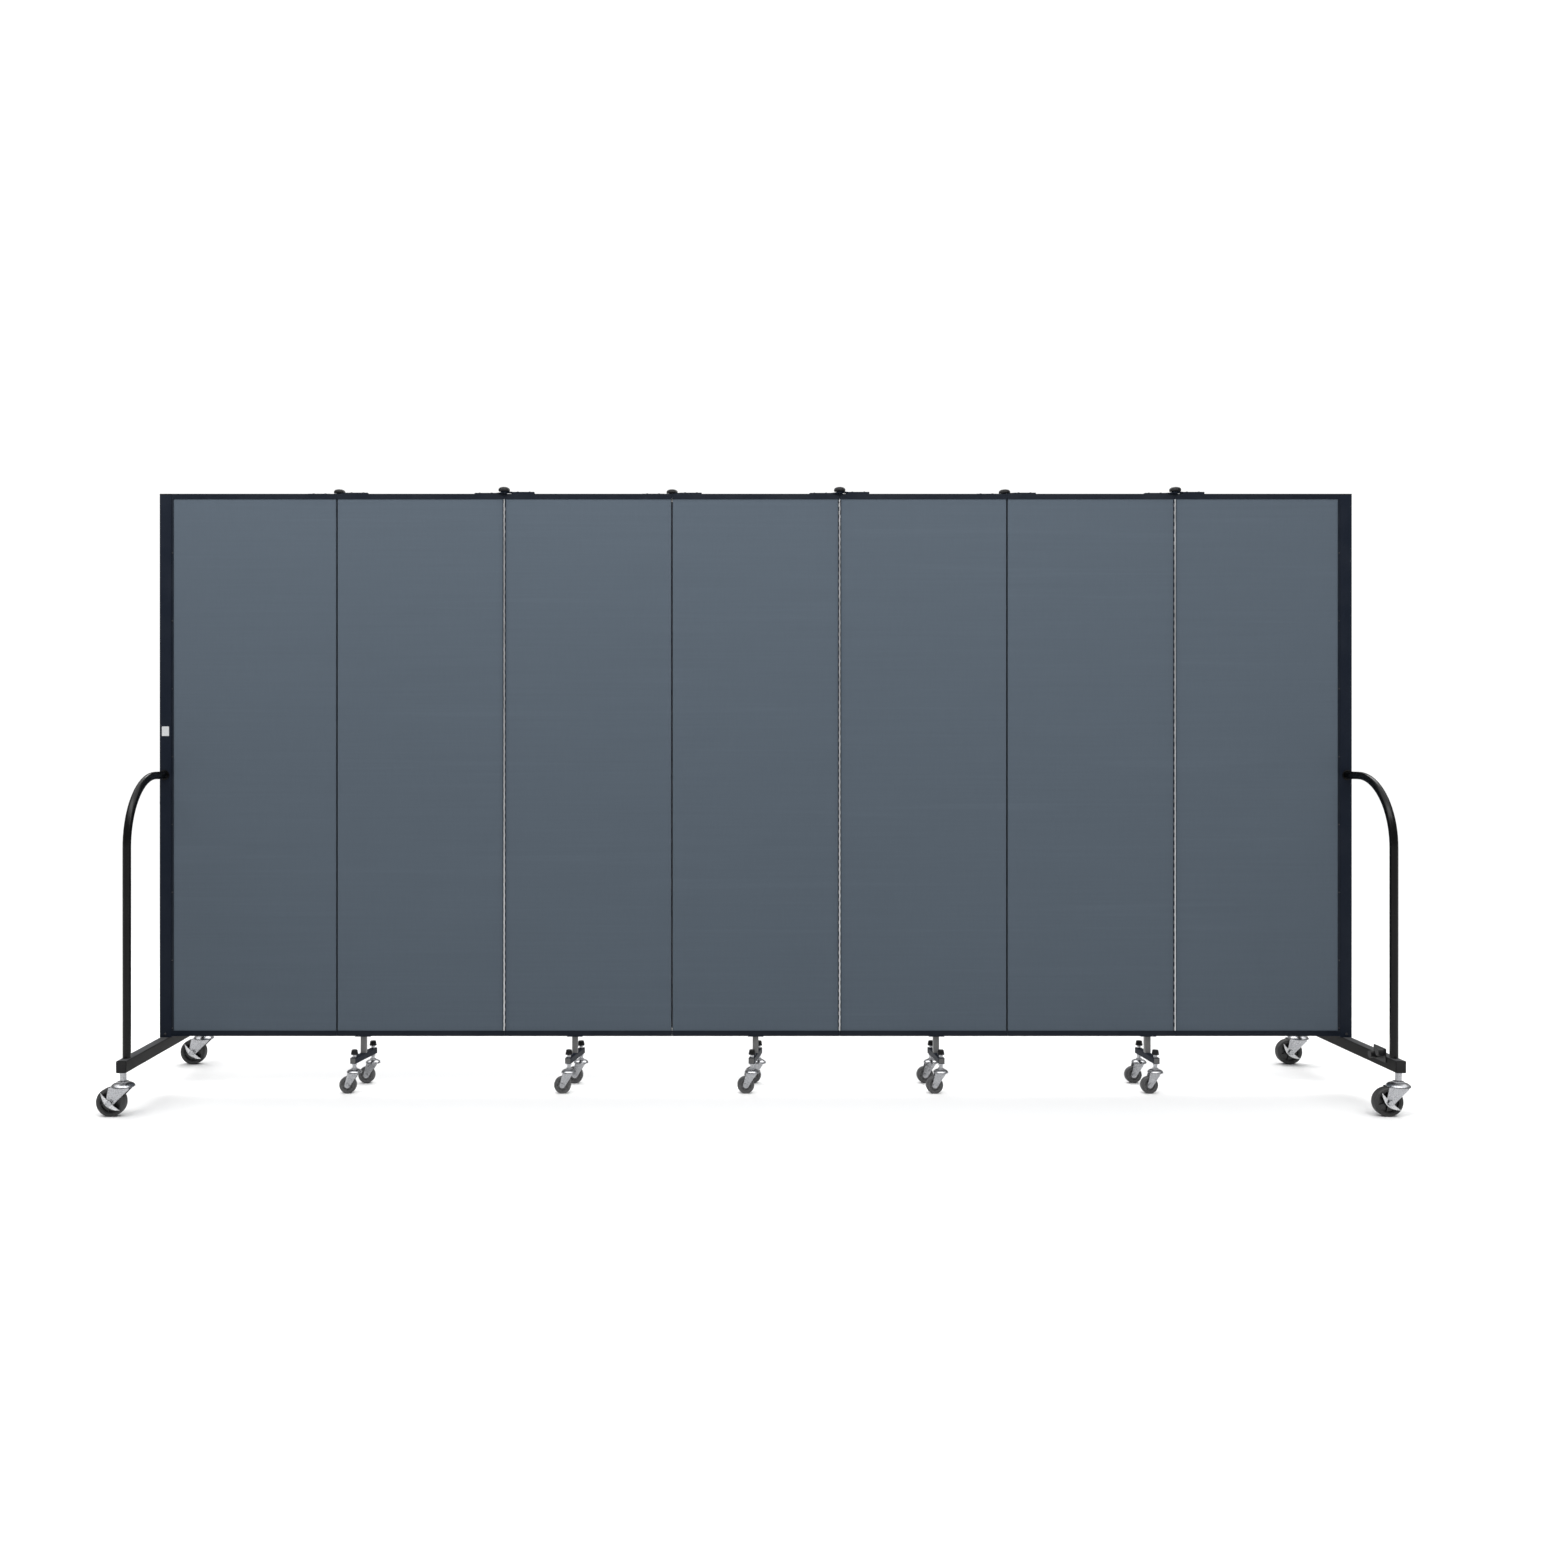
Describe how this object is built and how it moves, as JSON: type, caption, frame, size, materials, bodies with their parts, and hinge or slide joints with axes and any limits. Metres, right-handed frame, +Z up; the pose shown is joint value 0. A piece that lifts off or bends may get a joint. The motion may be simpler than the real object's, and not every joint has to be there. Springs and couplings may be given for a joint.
{
  "type": "folding partition wall",
  "caption": "Free-standing folding room divider: fabric-covered panels on continuous hinges, curved end braces, T-shaped middle legs and swivel casters.",
  "frame": {"origin": "on the floor, under the middle of the straight wall's bounding box", "axes": "+X along the wall to the right end frame, +Y to the back (the curved braces are in front, at -Y), +Z up"},
  "size_m": [4.0814, 0.762, 2.0175],
  "materials": {
    "panel_fabric": "slate blue woven polyester over a rigid board",
    "black_trim": "black anodised and powder coated trim",
    "black_steel": "semi-gloss black powder coat",
    "hinge_steel": "satin bright steel",
    "zinc_steel": "bright zinc plate",
    "black_rubber": "matte black rubber tyre on a dark hub"
  },
  "bodies": {
    "panel_1": {"panel_1_frame": "black_trim", "panel_1_board": "panel_fabric", "panel_1_hinge_leaves": "hinge_steel", "left_end_frame": "black_steel"},
    "caster_1_front_fork": {"caster_1_front_fork": "zinc_steel"},
    "caster_1_front_wheel": {"caster_1_front_wheel": "black_rubber"},
    "caster_1_front_brake": {"caster_1_front_brake": "zinc_steel"},
    "caster_1_rear_fork": {"caster_1_rear_fork": "zinc_steel"},
    "caster_1_rear_wheel": {"caster_1_rear_wheel": "black_rubber"},
    "caster_1_rear_brake": {"caster_1_rear_brake": "zinc_steel"},
    "panel_2": {"panel_2_frame": "black_trim", "panel_2_board": "panel_fabric", "panel_2_hinge_leaves": "hinge_steel", "panel_2_leg": "black_steel"},
    "caster_2_front_fork": {"caster_2_front_fork": "zinc_steel"},
    "caster_2_front_wheel": {"caster_2_front_wheel": "black_rubber"},
    "caster_2_rear_fork": {"caster_2_rear_fork": "zinc_steel"},
    "caster_2_rear_wheel": {"caster_2_rear_wheel": "black_rubber"},
    "panel_3": {"panel_3_frame": "black_trim", "panel_3_board": "panel_fabric", "panel_3_hinge_leaves": "hinge_steel", "panel_3_leg": "black_steel"},
    "caster_3_front_fork": {"caster_3_front_fork": "zinc_steel"},
    "caster_3_front_wheel": {"caster_3_front_wheel": "black_rubber"},
    "caster_3_rear_fork": {"caster_3_rear_fork": "zinc_steel"},
    "caster_3_rear_wheel": {"caster_3_rear_wheel": "black_rubber"},
    "panel_4": {"panel_4_frame": "black_trim", "panel_4_board": "panel_fabric", "panel_4_hinge_leaves": "hinge_steel", "panel_4_leg": "black_steel"},
    "caster_4_front_fork": {"caster_4_front_fork": "zinc_steel"},
    "caster_4_front_wheel": {"caster_4_front_wheel": "black_rubber"},
    "caster_4_rear_fork": {"caster_4_rear_fork": "zinc_steel"},
    "caster_4_rear_wheel": {"caster_4_rear_wheel": "black_rubber"},
    "panel_5": {"panel_5_frame": "black_trim", "panel_5_board": "panel_fabric", "panel_5_hinge_leaves": "hinge_steel", "panel_5_leg": "black_steel"},
    "caster_5_front_fork": {"caster_5_front_fork": "zinc_steel"},
    "caster_5_front_wheel": {"caster_5_front_wheel": "black_rubber"},
    "caster_5_rear_fork": {"caster_5_rear_fork": "zinc_steel"},
    "caster_5_rear_wheel": {"caster_5_rear_wheel": "black_rubber"},
    "panel_6": {"panel_6_frame": "black_trim", "panel_6_board": "panel_fabric", "panel_6_hinge_leaves": "hinge_steel", "panel_6_leg": "black_steel"},
    "caster_6_front_fork": {"caster_6_front_fork": "zinc_steel"},
    "caster_6_front_wheel": {"caster_6_front_wheel": "black_rubber"},
    "caster_6_rear_fork": {"caster_6_rear_fork": "zinc_steel"},
    "caster_6_rear_wheel": {"caster_6_rear_wheel": "black_rubber"},
    "panel_7": {"panel_7_frame": "black_trim", "panel_7_board": "panel_fabric", "panel_7_hinge_leaves": "hinge_steel", "right_end_frame": "black_steel"},
    "caster_7_front_fork": {"caster_7_front_fork": "zinc_steel"},
    "caster_7_front_wheel": {"caster_7_front_wheel": "black_rubber"},
    "caster_7_front_brake": {"caster_7_front_brake": "zinc_steel"},
    "caster_7_rear_fork": {"caster_7_rear_fork": "zinc_steel"},
    "caster_7_rear_wheel": {"caster_7_rear_wheel": "black_rubber"},
    "caster_7_rear_brake": {"caster_7_rear_brake": "zinc_steel"}
  },
  "joints": [
    {"name": "panel_hinge_1", "type": "hinge", "parent": "panel_2", "child": "panel_1", "pos_m": [-1.383, 0.021, 1], "axis": [0, 0, -1], "range_deg": [0, 180]},
    {"name": "panel_hinge_2", "type": "hinge", "parent": "panel_3", "child": "panel_2", "pos_m": [-0.821, -0.021, 1], "axis": [0, 0, 1], "range_deg": [0, 155]},
    {"name": "panel_hinge_3", "type": "hinge", "parent": "panel_4", "child": "panel_3", "pos_m": [-0.259, 0.021, 1], "axis": [0, 0, -1], "range_deg": [0, 150]},
    {"name": "panel_hinge_4", "type": "hinge", "parent": "panel_4", "child": "panel_5", "pos_m": [0.303, -0.021, 1], "axis": [0, 0, -1], "range_deg": [0, 150]},
    {"name": "panel_hinge_5", "type": "hinge", "parent": "panel_5", "child": "panel_6", "pos_m": [0.865, 0.021, 1], "axis": [0, 0, 1], "range_deg": [0, 168]},
    {"name": "panel_hinge_6", "type": "hinge", "parent": "panel_6", "child": "panel_7", "pos_m": [1.427, -0.021, 1], "axis": [0, 0, -1], "range_deg": [0, 145]},
    {"name": "caster_1_front_brake_lever", "type": "hinge", "parent": "caster_1_front_fork", "child": "caster_1_front_brake", "pos_m": [-1.9957, -0.345, 0.045], "axis": [0, -1, 0], "range_deg": [0, 30]},
    {"name": "caster_1_rear_brake_lever", "type": "hinge", "parent": "caster_1_rear_fork", "child": "caster_1_rear_brake", "pos_m": [-1.9957, 0.345, 0.045], "axis": [0, -1, 0], "range_deg": [0, 30]},
    {"name": "caster_7_front_brake_lever", "type": "hinge", "parent": "caster_7_front_fork", "child": "caster_7_front_brake", "pos_m": [1.9697, -0.345, 0.045], "axis": [0, -1, 0], "range_deg": [0, 30]},
    {"name": "caster_7_rear_brake_lever", "type": "hinge", "parent": "caster_7_rear_fork", "child": "caster_7_rear_brake", "pos_m": [1.9697, 0.345, 0.045], "axis": [0, -1, 0], "range_deg": [0, 30]},
    {"name": "caster_1_front_swivel", "type": "hinge", "parent": "panel_1", "child": "caster_1_front_fork", "pos_m": [-1.9607, -0.345, 0.1045], "axis": [0, 0, 1], "continuous": true},
    {"name": "caster_1_front_roll", "type": "hinge", "parent": "caster_1_front_fork", "child": "caster_1_front_wheel", "pos_m": [-1.9957, -0.345, 0.045], "axis": [0, 1, 0], "continuous": true},
    {"name": "caster_1_rear_swivel", "type": "hinge", "parent": "panel_1", "child": "caster_1_rear_fork", "pos_m": [-1.9607, 0.345, 0.1045], "axis": [0, 0, 1], "continuous": true},
    {"name": "caster_1_rear_roll", "type": "hinge", "parent": "caster_1_rear_fork", "child": "caster_1_rear_wheel", "pos_m": [-1.9957, 0.345, 0.045], "axis": [0, 1, 0], "continuous": true},
    {"name": "caster_7_front_swivel", "type": "hinge", "parent": "panel_7", "child": "caster_7_front_fork", "pos_m": [2.0047, -0.345, 0.1045], "axis": [0, 0, 1], "continuous": true},
    {"name": "caster_7_front_roll", "type": "hinge", "parent": "caster_7_front_fork", "child": "caster_7_front_wheel", "pos_m": [1.9697, -0.345, 0.045], "axis": [0, 1, 0], "continuous": true},
    {"name": "caster_7_rear_swivel", "type": "hinge", "parent": "panel_7", "child": "caster_7_rear_fork", "pos_m": [2.0047, 0.345, 0.1045], "axis": [0, 0, 1], "continuous": true},
    {"name": "caster_7_rear_roll", "type": "hinge", "parent": "caster_7_rear_fork", "child": "caster_7_rear_wheel", "pos_m": [1.9697, 0.345, 0.045], "axis": [0, 1, 0], "continuous": true},
    {"name": "caster_2_front_swivel", "type": "hinge", "parent": "panel_2", "child": "caster_2_front_fork", "pos_m": [-1.31055, -0.06847, 0.0797], "axis": [0, 0, 1], "continuous": true},
    {"name": "caster_2_front_roll", "type": "hinge", "parent": "caster_2_front_fork", "child": "caster_2_front_wheel", "pos_m": [-1.33155, -0.06847, 0.028], "axis": [0, 1, 0], "continuous": true},
    {"name": "caster_2_rear_swivel", "type": "hinge", "parent": "panel_2", "child": "caster_2_rear_fork", "pos_m": [-1.28145, 0.06847, 0.0797], "axis": [0, 0, 1], "continuous": true},
    {"name": "caster_2_rear_roll", "type": "hinge", "parent": "caster_2_rear_fork", "child": "caster_2_rear_wheel", "pos_m": [-1.30245, 0.06847, 0.028], "axis": [0, 1, 0], "continuous": true},
    {"name": "caster_3_front_swivel", "type": "hinge", "parent": "panel_3", "child": "caster_3_front_fork", "pos_m": [-0.59955, -0.06847, 0.0797], "axis": [0, 0, 1], "continuous": true},
    {"name": "caster_3_front_roll", "type": "hinge", "parent": "caster_3_front_fork", "child": "caster_3_front_wheel", "pos_m": [-0.62055, -0.06847, 0.028], "axis": [0, 1, 0], "continuous": true},
    {"name": "caster_3_rear_swivel", "type": "hinge", "parent": "panel_3", "child": "caster_3_rear_fork", "pos_m": [-0.57045, 0.06847, 0.0797], "axis": [0, 0, 1], "continuous": true},
    {"name": "caster_3_rear_roll", "type": "hinge", "parent": "caster_3_rear_fork", "child": "caster_3_rear_wheel", "pos_m": [-0.59145, 0.06847, 0.028], "axis": [0, 1, 0], "continuous": true},
    {"name": "caster_4_front_swivel", "type": "hinge", "parent": "panel_4", "child": "caster_4_front_fork", "pos_m": [0.00745, -0.06847, 0.0797], "axis": [0, 0, 1], "continuous": true},
    {"name": "caster_4_front_roll", "type": "hinge", "parent": "caster_4_front_fork", "child": "caster_4_front_wheel", "pos_m": [-0.01355, -0.06847, 0.028], "axis": [0, 1, 0], "continuous": true},
    {"name": "caster_4_rear_swivel", "type": "hinge", "parent": "panel_4", "child": "caster_4_rear_fork", "pos_m": [0.03655, 0.06847, 0.0797], "axis": [0, 0, 1], "continuous": true},
    {"name": "caster_4_rear_roll", "type": "hinge", "parent": "caster_4_rear_fork", "child": "caster_4_rear_wheel", "pos_m": [0.01555, 0.06847, 0.028], "axis": [0, 1, 0], "continuous": true},
    {"name": "caster_5_front_swivel", "type": "hinge", "parent": "panel_5", "child": "caster_5_front_fork", "pos_m": [0.63266, -0.0699, 0.0797], "axis": [0, 0, 1], "continuous": true},
    {"name": "caster_5_front_roll", "type": "hinge", "parent": "caster_5_front_fork", "child": "caster_5_front_wheel", "pos_m": [0.61166, -0.0699, 0.028], "axis": [0, 1, 0], "continuous": true},
    {"name": "caster_5_rear_swivel", "type": "hinge", "parent": "panel_5", "child": "caster_5_rear_fork", "pos_m": [0.62534, 0.0699, 0.0797], "axis": [0, 0, 1], "continuous": true},
    {"name": "caster_5_rear_roll", "type": "hinge", "parent": "caster_5_rear_fork", "child": "caster_5_rear_wheel", "pos_m": [0.60434, 0.0699, 0.028], "axis": [0, 1, 0], "continuous": true},
    {"name": "caster_6_front_swivel", "type": "hinge", "parent": "panel_6", "child": "caster_6_front_fork", "pos_m": [1.34366, -0.0699, 0.0797], "axis": [0, 0, 1], "continuous": true},
    {"name": "caster_6_front_roll", "type": "hinge", "parent": "caster_6_front_fork", "child": "caster_6_front_wheel", "pos_m": [1.32266, -0.0699, 0.028], "axis": [0, 1, 0], "continuous": true},
    {"name": "caster_6_rear_swivel", "type": "hinge", "parent": "panel_6", "child": "caster_6_rear_fork", "pos_m": [1.33634, 0.0699, 0.0797], "axis": [0, 0, 1], "continuous": true},
    {"name": "caster_6_rear_roll", "type": "hinge", "parent": "caster_6_rear_fork", "child": "caster_6_rear_wheel", "pos_m": [1.31534, 0.0699, 0.028], "axis": [0, 1, 0], "continuous": true}
  ]
}
